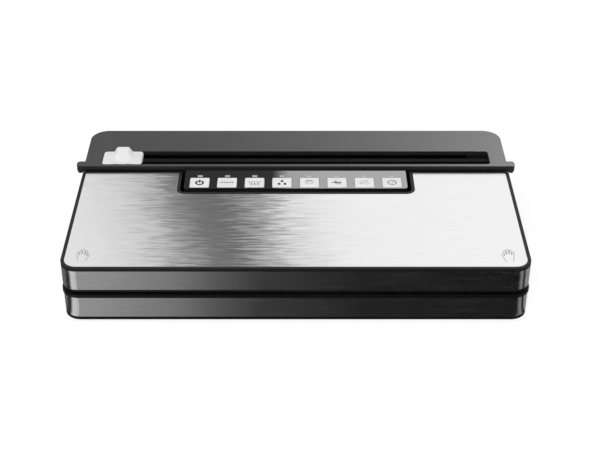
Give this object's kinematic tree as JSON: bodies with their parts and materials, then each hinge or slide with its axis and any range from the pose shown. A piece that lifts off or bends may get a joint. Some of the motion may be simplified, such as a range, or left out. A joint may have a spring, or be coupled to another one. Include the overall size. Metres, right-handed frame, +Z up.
{
  "type": "vacuum sealer",
  "caption": "Countertop vacuum sealer with a hinged steel-topped lid, a fixed key panel in its notch and a bag roll bay with a sliding film cutter.",
  "frame": {"origin": "under the middle of the object, on the surface it stands on", "axes": "+X along the width, +Y to the back, +Z up"},
  "size_m": [0.4026, 0.2226, 0.0649],
  "materials": {
    "black_plastic": "fine moulded texture, satin black",
    "trim_plastic": "satin black",
    "band_steel": "brushed along the length",
    "plate_steel": "brushed along the length",
    "panel_gloss": "high gloss black",
    "key_white": "satin white",
    "lens": "clear grey",
    "cutter_white": "satin white",
    "rail_grey": "satin dark grey",
    "foam": "closed cell foam",
    "rubber": "matt",
    "silicone": "satin",
    "aluminium": "bare",
    "tape": "woven non-stick",
    "steel": "plated",
    "blade_steel": "ground",
    "inner_plastic": "moulded",
    "copper": "lacquered winding",
    "core_iron": "stacked sheet",
    "board": "circuit board"
  },
  "bodies": {
    "base": {"base_shell": "black_plastic", "base_band": "band_steel", "deck": "trim_plastic", "chamber_tray": "inner_plastic", "lower_seal": "foam", "seal_bar": "aluminium", "heating_strip": "steel", "ptfe_tape": "tape", "suction_nozzle": "inner_plastic", "machine_cover": "inner_plastic", "hinge_post_left": "inner_plastic", "hinge_post_right": "inner_plastic", "panel_housing": "black_plastic", "control_panel": "panel_gloss", "indicator_lenses": "lens", "control_board": "board", "key_switches": "inner_plastic", "transformer_core": "core_iron", "transformer_coil": "copper", "pump_motor": "steel", "pump_head": "inner_plastic", "power_board": "board", "release_valve": "inner_plastic", "vacuum_hose": "silicone", "lid_switch": "inner_plastic", "roll_bin": "black_plastic", "cord_gland": "rubber", "rubber_feet": "rubber", "base_screws": "steel"},
    "lid": {"lid_shell": "black_plastic", "lid_plate": "plate_steel", "lid_band": "band_steel", "lid_inner": "inner_plastic", "upper_seal": "foam", "pressure_strip": "silicone", "latch_hooks": "inner_plastic", "lid_hinge_pins": "steel", "lid_screws": "steel"},
    "roll_cover": {"roll_cover": "black_plastic", "cutter_rail": "rail_grey", "cover_hinge_pins": "steel"},
    "cutter": {"cutter_slider": "cutter_white", "cutter_blade": "blade_steel"},
    "left_release": {"left_release": "trim_plastic"},
    "right_release": {"right_release": "trim_plastic"},
    "key_1": {"key_1": "key_white"},
    "key_2": {"key_2": "key_white"},
    "key_3": {"key_3": "key_white"},
    "key_4": {"key_4": "key_white"},
    "key_5": {"key_5": "key_white"},
    "key_6": {"key_6": "key_white"},
    "key_7": {"key_7": "key_white"},
    "key_8": {"key_8": "key_white"}
  },
  "joints": [
    {"name": "lid_hinge", "type": "hinge", "parent": "base", "child": "lid", "pos_m": [0, 0.0355, 0.0476], "axis": [-1, 0, 0], "range_deg": [0, 75]},
    {"name": "cover_hinge", "type": "hinge", "parent": "base", "child": "roll_cover", "pos_m": [0, 0.1057, 0.0516], "axis": [-1, 0, 0], "range_deg": [0, 100]},
    {"name": "cutter_slide", "type": "slide", "parent": "roll_cover", "child": "cutter", "axis": [1, 0, 0], "range_m": [0, 0.32]},
    {"name": "left_release_press", "type": "slide", "parent": "base", "child": "left_release", "axis": [1, 0, 0], "range_m": [0, 0.003], "stiffness_N_per_m": 1500},
    {"name": "right_release_press", "type": "slide", "parent": "base", "child": "right_release", "axis": [-1, 0, 0], "range_m": [0, 0.003], "stiffness_N_per_m": 1500},
    {"name": "key_1_press", "type": "slide", "parent": "base", "child": "key_1", "axis": [0, 0, -1], "range_m": [0, 0.0007], "stiffness_N_per_m": 1500},
    {"name": "key_2_press", "type": "slide", "parent": "base", "child": "key_2", "axis": [0, 0, -1], "range_m": [0, 0.0007], "stiffness_N_per_m": 1500},
    {"name": "key_3_press", "type": "slide", "parent": "base", "child": "key_3", "axis": [0, 0, -1], "range_m": [0, 0.0007], "stiffness_N_per_m": 1500},
    {"name": "key_4_press", "type": "slide", "parent": "base", "child": "key_4", "axis": [0, 0, -1], "range_m": [0, 0.0007], "stiffness_N_per_m": 1500},
    {"name": "key_5_press", "type": "slide", "parent": "base", "child": "key_5", "axis": [0, 0, -1], "range_m": [0, 0.0007], "stiffness_N_per_m": 1500},
    {"name": "key_6_press", "type": "slide", "parent": "base", "child": "key_6", "axis": [0, 0, -1], "range_m": [0, 0.0007], "stiffness_N_per_m": 1500},
    {"name": "key_7_press", "type": "slide", "parent": "base", "child": "key_7", "axis": [0, 0, -1], "range_m": [0, 0.0007], "stiffness_N_per_m": 1500},
    {"name": "key_8_press", "type": "slide", "parent": "base", "child": "key_8", "axis": [0, 0, -1], "range_m": [0, 0.0007], "stiffness_N_per_m": 1500}
  ]
}
